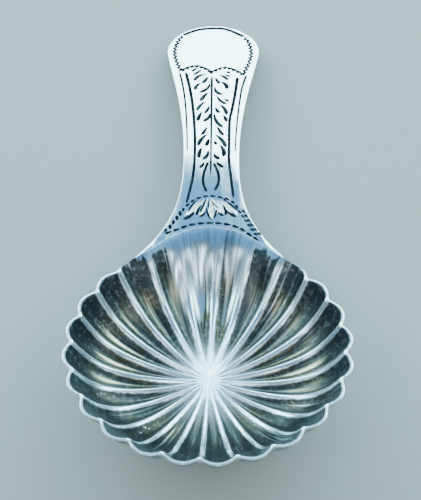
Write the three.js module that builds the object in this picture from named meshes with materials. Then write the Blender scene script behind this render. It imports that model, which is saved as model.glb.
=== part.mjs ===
// A silver caddy spoon: a fluted shell bowl pressed from thin sheet, a flared strip handle whose tongue
// laps under the lip of the bowl, and the film of hard solder that joins the two.
// Millimetres, +Z up, the handle along +Y. The spoon lies as it rests on a table, on its flutes and the
// end of its handle, with the middle of its outline over the origin and the table at Z = 0.

import * as THREE from 'three';

const degree = Math.PI / 180;

// Bowl, measured from the point where the flutes meet, square to the plane of the rim
const cuspRadius = 18.5; // out to the inward corners of the scalloped edge
const bowlDepth = 7.2; // from the meeting point up to the rim
const bowlSheet = 0.5; // thickness of the pressed sheet
const wallRun = 5.5; // plan width of the wall, from the edge of the dish to the rim
const dishRise = 1.8; // height of the crests at the edge of the dish
const dishCurl = 0.79; // share of that rise that waits for the dish's outer part
const rimSlope = 1.9; // rise over run of the wall where it meets the rim
const fluteCount = 24;
const fluteDepth = 0.8; // from the crests down to the floor of a channel, square to the sheet
const fluteRun = 9; // distance from the centre in which the channels gain most of their depth
const plainCentre = 1.6; // radius of the plain spot where the flutes meet

// Lip, the plain part of the wall that runs out under the handle
const lipReach = 3.6; // how far the lip stands past the cusps, on the handle's axis
const lipRise = 0.2; // height of the lip's end above the rim
const lipSlope = 0.12; // rise over run of the lip where it meets the handle
const lipAngle = 26; // degrees either side of the handle's axis where the wall starts to steepen
const openAngle = 48; // degrees either side where the wall has its full slope
const fadeStart = 0.25; // share of the wall's run where the channels under the handle start to fade
const fadeEnd = 0.9; // share of the wall's run where they are gone

// Shoulders, where the flared root of the handle runs out on the rim
const shoulderAngle = 35; // degrees either side of the handle's axis
const shoulderStep = 0.5; // how far the shoulders stand past the cusps

// Handle, measured along its axis from the end of the lip
const handleLength = 44.4; // to the tip
const neckDistance = 12.8; // to the narrowest place
const neckHalfWidth = 4.14;
const flareSharpness = 2.6; // how quickly the flare leaves the shoulders
const endHalfWidth = 7.3; // at the widest place of the rounded end
const endLength = 6.9; // from that widest place to the tip
const waistEase = 1.3; // how full the outline is just before the rounded end
const bendRadius = 253; // of the long arch of the handle
const flatLength = 10; // the flat panel at the end, back from the tip
const rootThickness = 1.2; // along the axis, where the handle meets the lip
const endThickness = 0.95; // of the flat panel

// Joint between the two
const solderFilm = 0.1;
const tongueEdge = 0.2; // share of the tongue's thickness that is left at its sides
const tongueNose = 0.35; // share of the tongue's thickness that is left at its front edge

// Mesh
const stepsPerFlute = 6;
const crestTurn = 1; // steps from the handle's axis to the first crest on its right
const dishRings = 7;
const wallRings = 5;
const lapRings = 2; // rings of the wall that the tongue covers
const rootRows = 7;
const shaftRows = 8;
const endRows = 6;
const rootCrowding = 1.3; // how much closer the root's rows lie near the shoulders
const weldGrid = 1e-5; // points closer than this are one point

// Values that follow from the sizes above
const dishRadius = cuspRadius - wallRun;
const dishSlope = (2 + 2 * dishCurl) * dishRise / dishRadius;
const rimAngle = Math.atan(rimSlope);
const rimRadius = cuspRadius - bowlSheet / Math.sin(rimAngle);
const lipRadius = cuspRadius + lipReach;
const lipHeight = bowlDepth + lipRise;
const shoulderRadius = cuspRadius + shoulderStep;
const columnCount = fluteCount * stepsPerFlute;
const columnAngle = 360 / columnCount;
const seamSteps = Math.round(shoulderAngle / columnAngle);
const seamAngle = seamSteps * columnAngle;
const tongueThickness = rootThickness - bowlSheet - solderFilm;
const panelStart = lipRadius + handleLength - flatLength;

function mix(from, to, share) {
  return from + (to - from) * share;
}

function smooth(value, from, to) {
  return THREE.MathUtils.smoothstep(value, from, to);
}

// Where the wall ends at an angle from the handle's axis: the seam's arc within the shoulders, and the
// rim beyond them. Radius, height and slope of the crest surface there.
function wallEnd(angle) {
  const turn = Math.abs(angle);
  const bump = Math.cos(Math.min(turn / seamAngle, 1) * 90 * degree) ** 2;
  const seam = mix(shoulderRadius, lipRadius, bump);
  const open = smooth(turn, lipAngle, openAngle);
  return {
    radius: mix(seam, rimRadius, smooth(turn, seamAngle, openAngle)),
    height: mix(lipHeight, bowlDepth, open),
    slope: mix(lipSlope, rimSlope, open),
  };
}

// Radius, height and slope of the surface that the crests lie on, at an angle and a ring.
function crestSurface(angle, ring) {
  if (ring <= dishRings) {
    const share = ring / dishRings;
    const rise = (1 - dishCurl) * share ** 2 + dishCurl * share ** 4;
    const steepness = 2 * (1 - dishCurl) * share + 4 * dishCurl * share ** 3;
    return {
      radius: dishRadius * share,
      height: dishRise * rise,
      slope: steepness * dishRise / dishRadius,
    };
  }
  const end = wallEnd(angle);
  const third = (end.radius - dishRadius) / 3;
  const wall = new THREE.CubicBezierCurve(
    new THREE.Vector2(dishRadius, dishRise),
    new THREE.Vector2(dishRadius + third, dishRise + third * dishSlope),
    new THREE.Vector2(end.radius - third, end.height - third * end.slope),
    new THREE.Vector2(end.radius, end.height),
  );
  const along = (ring - dishRings) / wallRings;
  const point = wall.getPoint(along);
  const tangent = wall.getTangent(along);
  return { radius: point.x, height: point.y, slope: tangent.y / tangent.x };
}

// Depth of the channels' floor below the crests at an angle and a ring.
function channelFloor(angle, ring, radius) {
  const turn = Math.abs(angle);
  const grown = Math.tanh(radius / fluteRun) * smooth(radius, plainCentre / 2, plainCentre * 2);
  const along = Math.max(ring - dishRings, 0) / wallRings;
  const faded = (1 - smooth(turn, lipAngle, openAngle)) * smooth(along, fadeStart, fadeEnd);
  return fluteDepth * grown * (1 - faded);
}

// How far across its channel a column lies, as a share of the floor's depth: 0 on a crest, 1 midway.
function channelShare(column) {
  const step = THREE.MathUtils.euclideanModulo(column - crestTurn, stepsPerFlute);
  const across = 2 * step / stepsPerFlute - 1;
  return 1 - across ** 2;
}

// Direction out of the bowl, as radius and height: square to the sheet, and level at the rim, which is
// filed flat.
function outward(angle, ring, slope) {
  const tilt = Math.atan(slope);
  const square = new THREE.Vector2(Math.sin(tilt), -Math.cos(tilt));
  if (ring < dishRings + wallRings) {
    return square;
  }
  const level = new THREE.Vector2(1 / Math.sin(tilt), 0);
  return square.lerp(level, smooth(Math.abs(angle), seamAngle, openAngle));
}

// A point of the bowl at a column and a ring, a distance out of its inner face. With share given, the
// channels take that share of their depth at every column.
function bowlPoint(column, ring, distance, share = channelShare(column)) {
  const angle = column * columnAngle;
  const surface = crestSurface(angle, ring);
  const direction = outward(angle, ring, surface.slope);
  const sink = channelFloor(angle, ring, surface.radius) * share + distance;
  const radius = surface.radius + direction.x * sink;
  const height = surface.height + direction.y * sink;
  return new THREE.Vector3(
    radius * Math.sin(angle * degree),
    radius * Math.cos(angle * degree),
    height,
  );
}

// A closed solid from columns of points, each column a closed loop with as many points as the next.
// The caps are polygons, as places in the loop, that close the first and the last column.
function loft(columns, caps = []) {
  const places = new Map();
  const positions = [];
  const triangles = [];

  function place(point) {
    const key = point.toArray().map((value) => Math.round(value / weldGrid)).join();
    if (!places.has(key)) {
      places.set(key, positions.length / 3);
      positions.push(point.x, point.y, point.z);
    }
    return places.get(key);
  }

  function face(points) {
    const corners = points.map(place);
    for (let i = 2; i < corners.length; i += 1) {
      const triangle = [corners[0], corners[i - 1], corners[i]];
      if (new Set(triangle).size === 3) {
        triangles.push(triangle);
      }
    }
  }

  const joins = caps.length > 0 ? columns.length - 1 : columns.length;
  for (let k = 0; k < joins; k += 1) {
    const here = columns[k];
    const next = columns[(k + 1) % columns.length];
    for (let i = 0; i < here.length; i += 1) {
      const j = (i + 1) % here.length;
      face([here[i], next[i], next[j], here[j]]);
    }
  }
  const first = columns[0];
  const last = columns[columns.length - 1];
  for (const cap of caps) {
    face(cap.map((i) => first[i]));
    // The same corners in the same split, turned to face the other way
    const [start, ...rest] = cap.map((i) => last[i]);
    face([start, ...rest.reverse()]);
  }

  if (signedVolume(positions, triangles) < 0) {
    triangles.forEach((triangle) => triangle.reverse());
  }
  const geometry = new THREE.BufferGeometry();
  geometry.setAttribute('position', new THREE.Float32BufferAttribute(positions, 3));
  geometry.setIndex(triangles.flat());
  geometry.computeVertexNormals();
  return geometry;
}

function signedVolume(positions, triangles) {
  const corner = (i) => new THREE.Vector3().fromArray(positions, 3 * i);
  return triangles.reduce((sum, [a, b, c]) => sum + corner(a).dot(corner(b).cross(corner(c))) / 6, 0);
}

// Bowl: down the inside of the sheet to its edge and back up the outside, all the way round.
function bowlGeometry() {
  const lastRing = dishRings + wallRings;
  const columns = [];
  for (let column = -columnCount / 2; column < columnCount / 2; column += 1) {
    const inside = [];
    const outside = [];
    for (let ring = 0; ring <= lastRing; ring += 1) {
      inside.push(bowlPoint(column, ring, 0));
      outside.unshift(bowlPoint(column, ring, bowlSheet));
    }
    columns.push([...inside, ...outside]);
  }
  return loft(columns);
}

// The faces of the lap joint at one column of the seam. The bowl's side runs from the top of the lip's
// edge down and in under it, and the handle's side lies one film of solder away from it.
function lapJoint(column) {
  const angle = column * columnAngle;
  const lastRing = dishRings + wallRings;
  const end = wallEnd(angle);
  const tilt = Math.atan(end.slope);
  const across = column / seamSteps;
  const thickness = tongueThickness * mix(1, tongueEdge, across ** 2);

  // A step along the sheet, away from the lip's edge
  const gap = new THREE.Vector3(
    Math.cos(tilt) * Math.sin(angle * degree),
    Math.cos(tilt) * Math.cos(angle * degree),
    Math.sin(tilt),
  ).multiplyScalar(solderFilm);

  const bowlSide = [bowlPoint(column, lastRing, 0)];
  const handleSide = [bowlPoint(column, lastRing, 0).add(gap)];
  const underside = [];
  for (let step = 0; step <= lapRings; step += 1) {
    const ring = lastRing - step;
    const film = bowlSheet + solderFilm;
    const left = step === lapRings ? thickness * tongueNose : thickness;
    const shift = step === 0 ? gap : new THREE.Vector3();
    bowlSide.push(bowlPoint(column, ring, bowlSheet));
    handleSide.push(bowlPoint(column, ring, film, 1).add(shift));
    underside.push(bowlPoint(column, ring, film + left, 1).add(shift));
  }
  return { bowlSide, handleSide, underside };
}

function seamColumns() {
  const columns = [];
  for (let column = -seamSteps; column <= seamSteps; column += 1) {
    columns.push(lapJoint(column));
  }
  return columns;
}

// Solder: the film that fills the lap and turns up between the lip's edge and the handle.
function solderGeometry(seam) {
  const columns = seam.map(({ bowlSide, handleSide }) => [...bowlSide, ...handleSide.toReversed()]);
  const size = columns[0].length;
  const caps = [];
  for (let i = 0; i < lapRings + 1; i += 1) {
    caps.push([i, i + 1, size - 2 - i, size - 1 - i]);
  }
  return loft(columns, caps);
}

// Height of the handle's upper face: a long arch, then the flat panel of the end.
function handleHeight(y) {
  const arch = Math.min(y, panelStart) - lipRadius;
  const beyond = Math.max(y - panelStart, 0);
  const panelSlope = lipSlope - (panelStart - lipRadius) / bendRadius;
  return lipHeight + lipSlope * arch - arch ** 2 / (2 * bendRadius) + panelSlope * beyond;
}

// Rows across the handle above the seam. Each has the place of its middle and of its two ends along
// the axis, its half width, and how much of the seam's shape it still keeps.
function handleRows(root) {
  const neck = lipRadius + neckDistance;
  const widest = lipRadius + handleLength - endLength;
  const rows = [];
  for (let i = 1; i <= rootRows; i += 1) {
    const share = (i / rootRows) ** rootCrowding;
    const end = mix(root.end, neck, share);
    const keep = (1 - share) ** 2;
    rows.push({
      end,
      middle: end + (root.middle - root.end) * keep,
      halfWidth: mix(neckHalfWidth, root.halfWidth, (1 - share) ** flareSharpness),
      keep,
    });
  }
  for (let i = 1; i <= shaftRows; i += 1) {
    const share = i / shaftRows;
    const y = mix(neck, widest, share);
    const halfWidth = mix(neckHalfWidth, endHalfWidth, 1 - (1 - share ** 2) ** waistEase);
    rows.push({ end: y, middle: y, halfWidth, keep: 0 });
  }
  for (let i = 1; i <= endRows; i += 1) {
    const turn = 90 * degree * i / endRows;
    const y = widest + endLength * Math.sin(turn);
    const halfWidth = i < endRows ? endHalfWidth * Math.cos(turn) : 0;
    rows.push({ end: y, middle: y, halfWidth, keep: 0 });
  }
  return rows;
}

// Handle: the flared strip, and the tongue that runs on from its root under the lip.
function handleGeometry(seam) {
  const middle = seam[seamSteps].handleSide[0];
  const corner = seam[seam.length - 1].handleSide[0];
  const root = { end: corner.y, middle: middle.y, halfWidth: corner.x };
  const rows = handleRows(root);

  const columns = seam.map(({ handleSide, underside }) => {
    const start = handleSide[0];
    const below = underside[0];
    const across = start.x / root.halfWidth;
    const drop = (root.middle - start.y) / (root.middle - root.end);
    const lift = start.z - handleHeight(start.y);
    const top = [];
    const bottom = [];
    for (const row of rows) {
      const y = mix(row.middle, row.end, drop);
      const point = new THREE.Vector3(across * row.halfWidth, y, handleHeight(y) + lift * row.keep);
      const gone = THREE.MathUtils.clamp((y - lipRadius) / (panelStart - lipRadius), 0, 1);
      const thickness = mix(rootThickness, endThickness, gone);
      const plumb = new THREE.Vector3(0, 0, -thickness);
      top.push(point);
      bottom.unshift(point.clone().add(plumb.lerp(below.clone().sub(start), row.keep)));
    }
    return [...handleSide.toReversed(), ...top, ...bottom, ...underside];
  });

  // Places in a column's loop, from the tongue's nose up to the seam, along the top and back below
  const seamTop = lapRings + 1;
  const size = columns[0].length;
  const seamBottom = size - 1 - lapRings;
  const caps = [];
  for (let i = 0; i < rows.length; i += 1) {
    caps.push([seamTop + i, seamTop + i + 1, seamBottom - i - 1, seamBottom - i]);
  }
  caps.push([seamTop, seamBottom, seamTop - 1]);
  for (let i = 0; i < lapRings; i += 1) {
    caps.push([seamTop - 1 - i, seamBottom + i, seamBottom + i + 1, seamTop - 2 - i]);
  }
  return loft(columns, caps);
}

// Lowest height of a shape when the handle's end is tipped down by an angle.
function lowest(geometry, tilt) {
  const position = geometry.getAttribute('position');
  let low = Infinity;
  for (let i = 0; i < position.count; i += 1) {
    low = Math.min(low, position.getZ(i) * Math.cos(tilt) - position.getY(i) * Math.sin(tilt));
  }
  return low;
}

// The tilt at which the bowl and the end of the handle touch the table together, by halving.
function restingTilt(bowl, handle) {
  const halvings = 50;
  let level = 0;
  let steep = 45 * degree;
  for (let i = 0; i < halvings; i += 1) {
    const tilt = (level + steep) / 2;
    if (lowest(handle, tilt) > lowest(bowl, tilt)) {
      level = tilt;
    } else {
      steep = tilt;
    }
  }
  return level;
}

function metal(color, roughness) {
  return new THREE.MeshStandardMaterial({ color, roughness, metalness: 1 });
}

function named(name, geometry, material) {
  const mesh = new THREE.Mesh(geometry, material);
  mesh.name = name;
  return mesh;
}

const seam = seamColumns();
const bowl = named('bowl', bowlGeometry(), metal(0xb9bec2, 0.3));
const solder = named('solder_seam', solderGeometry(seam), metal(0xc4c2b8, 0.35));
const handle = named('handle', handleGeometry(seam), metal(0xd3dade, 0.25));

const pieces = new THREE.Group();
pieces.add(bowl, solder, handle);
pieces.rotation.x = -restingTilt(bowl.geometry, handle.geometry);
pieces.updateMatrixWorld();

const outline = new THREE.Box3().setFromObject(pieces, true);
const centre = outline.getCenter(new THREE.Vector3());
pieces.position.set(-centre.x, -centre.y, -outline.min.z);

const spoon = new THREE.Group();
spoon.add(pieces);

export default spoon;
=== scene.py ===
# %% [markdown]
# # A silver caddy spoon
# A caddy spoon measures tea leaves. This one is three pieces of silver: a bowl pressed from thin sheet
# with 24 flutes, a thicker strip sawn to shape and engraved for the handle, and the film of hard solder
# between them. The CAD frame gives their places and sizes. This lesson gives them their fine surfaces:
# rounded flutes, cut ornament, tarnish, scratches and polish.

# %% The frame and the units
import math
from contextlib import contextmanager

import bpy
from mathutils import Matrix, Vector


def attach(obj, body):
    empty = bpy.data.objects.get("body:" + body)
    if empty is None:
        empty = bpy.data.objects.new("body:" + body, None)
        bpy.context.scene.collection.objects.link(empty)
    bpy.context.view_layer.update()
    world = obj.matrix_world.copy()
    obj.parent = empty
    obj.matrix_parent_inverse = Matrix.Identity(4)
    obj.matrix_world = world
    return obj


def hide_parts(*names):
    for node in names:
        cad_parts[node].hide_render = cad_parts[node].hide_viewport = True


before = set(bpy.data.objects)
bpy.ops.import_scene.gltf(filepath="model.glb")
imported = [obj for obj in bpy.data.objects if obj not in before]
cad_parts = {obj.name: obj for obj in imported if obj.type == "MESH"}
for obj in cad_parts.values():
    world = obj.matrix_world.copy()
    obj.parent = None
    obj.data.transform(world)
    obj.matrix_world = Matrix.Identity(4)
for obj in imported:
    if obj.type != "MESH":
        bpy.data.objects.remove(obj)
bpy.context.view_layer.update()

MM = 0.001
print("CAD nodes:", sorted(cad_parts))

# %% [markdown]
# A new Blender file opens with a cube, a lamp and a camera. They aren't part of the studio, so they go.

# %% An empty studio
for name in ("Cube", "Light", "Camera"):
    if name in bpy.data.objects:
        bpy.data.objects.remove(bpy.data.objects[name])

# %% [markdown]
# ## How the spoon lies
# The pieces are drawn with the rim of the bowl level and the handle along +Y, because a section or an
# outline is easy to state that way. On the table the spoon rocks back on its flutes until the end of the
# handle touches too. One turn and one shift lay each finished piece down, and they are applied to the
# mesh, so that every object ends at the origin, unturned.

# %% Where the spoon lies
REST_TILT = math.radians(8.5896)
FLUTES_MEET = Vector((0, -24.5486, 1.94315)) * MM  # where that point of the bowl lies on the table
LAID = Matrix.Translation(FLUTES_MEET) @ Matrix.Rotation(-REST_TILT, 4, "X")
print("The handle's end lies lower by", round(math.degrees(REST_TILT), 1), "degrees")

# %% [markdown]
# Most of Blender's operators act on what is selected, so each helper selects its piece first.

# %% Helpers that lay a piece down and apply its modifiers
def select_only(piece):
    """Operators act on all that is selected, so only one piece is."""
    bpy.ops.object.select_all(action="DESELECT")
    piece.select_set(True)
    bpy.context.view_layer.objects.active = piece


def lay_down(piece):
    """Turn and shift a finished piece into its place on the table."""
    select_only(piece)
    piece.matrix_world = LAID
    bpy.ops.object.transform_apply(location=True, rotation=True, scale=True)


def apply_modifiers(piece):
    select_only(piece)
    for modifier in list(piece.modifiers):
        bpy.ops.object.modifier_apply(modifier=modifier.name)


# %% [markdown]
# Mesh tools such as Extrude and Spin work in edit mode. A block that starts with `with edit_mode(piece)`
# enters it and leaves it again, so the two can't come apart.

# %% Working in edit mode
@contextmanager
def edit_mode(piece):
    """What stands inside this block happens in edit mode, and starts with the whole piece selected."""
    select_only(piece)
    bpy.ops.object.mode_set(mode="EDIT")
    bpy.ops.mesh.select_all(action="SELECT")
    yield
    bpy.ops.object.mode_set(mode="OBJECT")


# %% [markdown]
# ## The camera
# The photograph was taken from above the front of the bowl, a hand's length away, so the far end of the
# handle looks smaller than the bowl. Its place is given as a rise above the plane of the rim, a distance
# and a roll. A long lens would flatten that, so the focal length comes from the picture's own height.

# %% Camera
PICTURE_HEIGHT = 500  # pixels
FOCAL_LENGTH = 1524.1  # pixels
CAMERA_RISE = math.radians(45.9)
CAMERA_ROLL = math.radians(0.74)
CAMERA_DISTANCE = 223.67 * MM
AIM = Vector((0.4995, 24.716, 0)) * MM  # the middle of the picture, level with the meeting flutes
HANDLE_LEAN = math.radians(1.3)  # to the right, seen from the camera
NEAREST_SEEN = 0.01  # metres

bpy.ops.object.camera_add()
camera = bpy.context.object
camera.name = "studio_camera"
camera.data.lens = FOCAL_LENGTH * camera.data.sensor_width / PICTURE_HEIGHT
camera.data.clip_start = NEAREST_SEEN
camera.matrix_world = (
    LAID
    @ Matrix.Rotation(HANDLE_LEAN, 4, "Z")
    @ Matrix.Translation(AIM)
    @ Matrix.Rotation(math.radians(90) - CAMERA_RISE, 4, "X")
    @ Matrix.Translation((0, 0, CAMERA_DISTANCE))
    @ Matrix.Rotation(-CAMERA_ROLL, 4, "Z")
)
bpy.context.scene.camera = camera
print("Camera stands at", [round(value / MM) for value in camera.matrix_world.translation], "mm")

# %% [markdown]
# ## The section of the bowl
# Seen from the side, the crests of the flutes lie on a shallow dish that turns up into a steep wall. The
# dish is a curve that stays nearly flat in the middle, and the wall is one curve from the dish to the
# rim, steered by its slope at each end as Blender's own curves are. Under the handle the same wall leans
# out into a plain lip, so the wall's end depends on the angle from the handle's axis. All of it is plain
# arithmetic, in millimetres.

# %% Sizes of the bowl
CUSP_RADIUS = 18.5  # out to the inward corners of the scalloped edge
BOWL_DEPTH = 7.2  # from the point where the flutes meet up to the rim
BOWL_SHEET = 0.5
DISH_RADIUS = 13.0
DISH_RISE = 1.8
DISH_CURL = 0.79  # share of that rise that waits for the dish's outer part
RIM_SLOPE = 1.9  # rise over run of the wall where it meets the rim
LIP_RADIUS = 22.1  # out to the end of the lip, on the handle's axis
LIP_HEIGHT = 7.4
LIP_SLOPE = 0.12
LIP_ANGLE = 26  # degrees either side of the axis where the wall starts to steepen
OPEN_ANGLE = 48  # degrees either side where the wall has its full slope
SEAM_ANGLE = 35  # degrees either side where the shoulders of the handle end
SHOULDER_RADIUS = 19.0
OPPOSITE = 180  # degrees from the axis of the handle to the front of the bowl
DISH_SLOPE = (2 + 2 * DISH_CURL) * DISH_RISE / DISH_RADIUS
RIM_RADIUS = CUSP_RADIUS - BOWL_SHEET / math.sin(math.atan(RIM_SLOPE))
print("Inner radius of the rim:", round(RIM_RADIUS, 2), "mm")


# %% [markdown]
# Two small helpers blend values: one in a straight line, one with a soft start and end. With them the
# wall's end changes from the long lip on the axis to the round rim beyond the shoulders.

# %% Where the wall ends
def mix(start, end, share):
    return start + (end - start) * share


def smooth(value, start, end):
    """0 up to the start, 1 from the end on, and a soft step between them."""
    share = min(max((value - start) / (end - start), 0), 1)
    return share * share * (3 - 2 * share)


def wall_end(angle):
    """Radius, height and slope where the wall ends, at an angle in degrees from the handle's axis."""
    turn = abs(angle)
    bump = math.cos(math.radians(90 * min(turn / SEAM_ANGLE, 1))) ** 2
    seam = mix(SHOULDER_RADIUS, LIP_RADIUS, bump)
    steep = smooth(turn, LIP_ANGLE, OPEN_ANGLE)
    radius = mix(seam, RIM_RADIUS, smooth(turn, SEAM_ANGLE, OPEN_ANGLE))
    return radius, mix(LIP_HEIGHT, BOWL_DEPTH, steep), mix(LIP_SLOPE, RIM_SLOPE, steep)


print("Radius, height and slope at the lip:", [round(value, 2) for value in wall_end(0)])
print("The same at the front:", [round(value, 2) for value in wall_end(OPPOSITE)])


# %% [markdown]
# The dish and the wall each give a slope as well as a place, because the sheet has a thickness and that
# is measured square to the slope.

# %% The dish and the wall
def dish(radius):
    """Radius, height and slope on the dish."""
    share = radius / DISH_RADIUS
    height = DISH_RISE * mix(share**2, share**4, DISH_CURL)
    slope = mix(2 * share, 4 * share**3, DISH_CURL) * DISH_RISE / DISH_RADIUS
    return radius, height, slope


def wall(angle, along):
    """Radius, height and slope on the wall, along from 0 at the dish to 1 at its end."""
    end_radius, end_height, end_slope = wall_end(angle)
    third = (end_radius - DISH_RADIUS) / 3
    low, high = DISH_RISE + third * DISH_SLOPE, end_height - third * end_slope
    left = 1 - along
    height = (
        left**3 * DISH_RISE
        + 3 * left**2 * along * low
        + 3 * left * along**2 * high
        + along**3 * end_height
    )
    climb = (
        left**2 * (low - DISH_RISE)
        + 2 * left * along * (high - low)
        + along**2 * (end_height - high)
    )
    return DISH_RADIUS + 3 * third * along, height, climb / third


# %% [markdown]
# ## The flutes
# Each flute is a channel punched into the sheet, and the ridges left between them are the crests. Across
# a channel the depth follows a parabola. Two parabolas would meet in a knife edge, and years of polishing
# have rounded it, so the distance from a crest is eased near zero.

# %% Across a flute
FLUTES = 24
FLUTE_ANGLE = 360 / FLUTES
FIRST_CREST = 2.5  # degrees from the handle's axis
CREST_ROUNDING = 0.35
NO_CHANNEL = CREST_ROUNDING * 0.01  # half width below which a channel counts as none


def crest_gap(angle, radius):
    """Distance from the nearest crest, and from a crest to the middle of a channel."""
    turn = (angle - FIRST_CREST) % FLUTE_ANGLE
    half = math.radians(FLUTE_ANGLE / 2) * radius
    return math.radians(min(turn, FLUTE_ANGLE - turn)) * radius, half


def eased(distance):
    """A distance from a crest, rounded off near zero."""
    return math.hypot(distance, CREST_ROUNDING) - CREST_ROUNDING


def channel_share(angle, radius):
    """How deep a point lies in its channel: 0 on a crest, 1 on the floor."""
    gap, half = crest_gap(angle, radius)
    if half < NO_CHANNEL:
        return 0
    across = eased(gap) / eased(half)
    return across * (2 - across)


# %% [markdown]
# The channels start beyond the plain spot in the middle, soon reach most of their depth, and die away on
# the lip.

# %% Depth along a flute
FLUTE_DEPTH = 0.8  # from the crests down to the floor of a channel
FLUTE_RUN = 9.0  # distance from the centre in which the channels gain most of their depth
PLAIN_CENTRE = 1.6  # radius of the plain spot where the flutes meet
FADE = 0.25, 0.9  # shares of the wall's run between which the channels die away on the lip


def channel_depth(angle, radius, along):
    """Depth of the floor of a channel below the crests."""
    grown = math.tanh(radius / FLUTE_RUN) * smooth(radius, PLAIN_CENTRE / 2, PLAIN_CENTRE * 2)
    faded = (1 - smooth(abs(angle), LIP_ANGLE, OPEN_ANGLE)) * smooth(along, *FADE)
    return FLUTE_DEPTH * grown * (1 - faded)


print("Depth of a channel at the rim:", round(channel_depth(OPPOSITE, RIM_RADIUS, 1), 2), "mm")

# %% [markdown]
# The press puts both skins of the sheet in place. The outer skin lies square below the inner one, but the
# rim is filed level, so there the thickness is measured sideways.

# %% The press
LEVEL_START = 0.8  # share of the wall's run where the sheet starts to turn level
LEAST_TILT = 0.1  # keeps the sideways thickness within bounds where the dish is flat


def sheet_point(angle, along, surface, sink):
    """The point that lies a distance out of the bowl from a point of the crest surface."""
    radius, height, slope = surface
    tilt = math.atan(slope)
    level = smooth(along, LEVEL_START, 1) * smooth(abs(angle), SEAM_ANGLE, OPEN_ANGLE)
    out = mix(math.sin(tilt), 1 / math.sin(max(tilt, LEAST_TILT)), level)
    down = mix(math.cos(tilt), 0, level)
    turn = math.radians(angle)
    reach = radius + out * sink
    return Vector((reach * math.sin(turn), reach * math.cos(turn), height - down * sink)) * MM


def up_the_wall(plain):
    """Share of the wall's run that a radius of the plain dish has behind it."""
    return max(plain - DISH_RADIUS, 0) / (RIM_RADIUS - DISH_RADIUS)


def pressed(angle, plain, thickness):
    """Where the press puts a point of the plain dish."""
    along = up_the_wall(plain)
    surface = wall(angle, along) if along > 0 else dish(plain)
    radius = surface[0]
    depth = channel_depth(angle, radius, along) * channel_share(angle, radius)
    return sheet_point(angle, along, surface, depth + thickness)


# %% [markdown]
# ## Spinning the plain dish
# A silversmith starts from a flat disc and forms a plain dish. The same can be done here with the Spin
# tool: one point is extruded step by step along the section, and the line is spun once round. A grid
# wrapped by hand would do as well, but a spun section keeps its rings and columns, which the flutes need.

# %% The section of a plain dish
DISH_RINGS = 36
WALL_RINGS = 24

section = [dish(DISH_RADIUS * ring / DISH_RINGS) for ring in range(DISH_RINGS + 1)]
section += [wall(OPPOSITE, ring / WALL_RINGS) for ring in range(1, WALL_RINGS + 1)]
print("Section:", len(section), "points")

# %% A plain dish by extrude and spin
FLUTE_STEPS = 20
MERGE = 1e-7  # metres; closer points become one

bpy.ops.object.select_all(action="DESELECT")
bpy.ops.mesh.primitive_plane_add(size=MM)
bowl = bpy.context.object
bowl.name = "fluted_bowl"
with edit_mode(bowl):
    bpy.ops.mesh.merge(type="CENTER")
    for (from_radius, from_height, _), (radius, height, _) in zip(section, section[1:]):
        step = Vector((0, radius - from_radius, height - from_height)) * MM
        bpy.ops.mesh.extrude_region_move(TRANSFORM_OT_translate={"value": step})
    bpy.ops.mesh.select_all(action="SELECT")
    bpy.ops.mesh.spin(
        steps=FLUTES * FLUTE_STEPS, angle=math.radians(360), center=(0, 0, 0), axis=(0, 0, 1)
    )
    bpy.ops.mesh.select_all(action="SELECT")
    bpy.ops.mesh.remove_doubles(threshold=MERGE)
    bpy.ops.mesh.normals_make_consistent(inside=False)
middle_face = min(bowl.data.polygons, key=lambda face: face.center.xy.length)
if middle_face.normal.z < 0:
    with edit_mode(bowl):
        bpy.ops.mesh.flip_normals()
print("Plain dish:", len(bowl.data.vertices), "points")

# %% [markdown]
# ## Pressing the flutes
# The plain skin is doubled, and the copy is turned over to be the outside of the sheet. Then every point
# moves to where the press would put it, the copy half a millimetre further out. It also gets attributes
# for the finish: how far the nearest crest is, how far out and how near the front the point lies, which
# skin it belongs to, and how well it is sheltered from the polishing cloth. A Displace modifier could
# push the flutes in too, but it would tip the rim.

# %% Where the cloth reaches
RUBBED_SHARE = 0.7  # how much of the tarnish below the handle goes over the first radii, the rest later
RUBBED_FIRST = 9, 13  # mm from the middle
RUBBED_LATER = 14, 16
RUBBED_SIDES = 15, 21.5  # degrees from the axis over which the rubbing ends
LIP_START = 0.55  # share of the wall's run where the wiped lip starts, on the axis
LIP_SHRINKS = 0.27  # how much later it starts at its sides
LIP_MIDDLE = 14, 20  # degrees over which its start moves
LIP_SIDES = 26, 40  # degrees over which the wiped lip ends
LIP_WIPED = 0.97  # share of the wall's run where the lip is wholly wiped


def sheltered(angle, plain):
    """1 where tarnish stays in a channel, and 0 where the smooth lip is wiped clean."""
    turn = abs(angle)
    # Here this is wear from the polishing cloth below the handle.
    wear_and_painted_gleam = RUBBED_SHARE * smooth(plain, *RUBBED_FIRST)
    wear_and_painted_gleam += (1 - RUBBED_SHARE) * smooth(plain, *RUBBED_LATER)
    below_handle = (1 - smooth(turn, *RUBBED_SIDES)) * wear_and_painted_gleam
    lip_start = LIP_START + LIP_SHRINKS * smooth(turn, *LIP_MIDDLE)
    lip = (1 - smooth(turn, *LIP_SIDES)) * smooth(up_the_wall(plain), lip_start, LIP_WIPED)
    return (1 - below_handle) * (1 - lip)


print("Shelter on the axis:", [round(sheltered(0, plain), 2) for plain in (5, 10, 15, 18)])

# %% Two skins, pressed
GRAIN = 18  # how finely the polishing marks change round the bowl
GRAIN_STRETCH = 0.08  # how little they change with each millimetre along a flute
FRONT_RAMP = 90, 150  # degrees from the axis between which the front of the bowl starts

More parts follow.
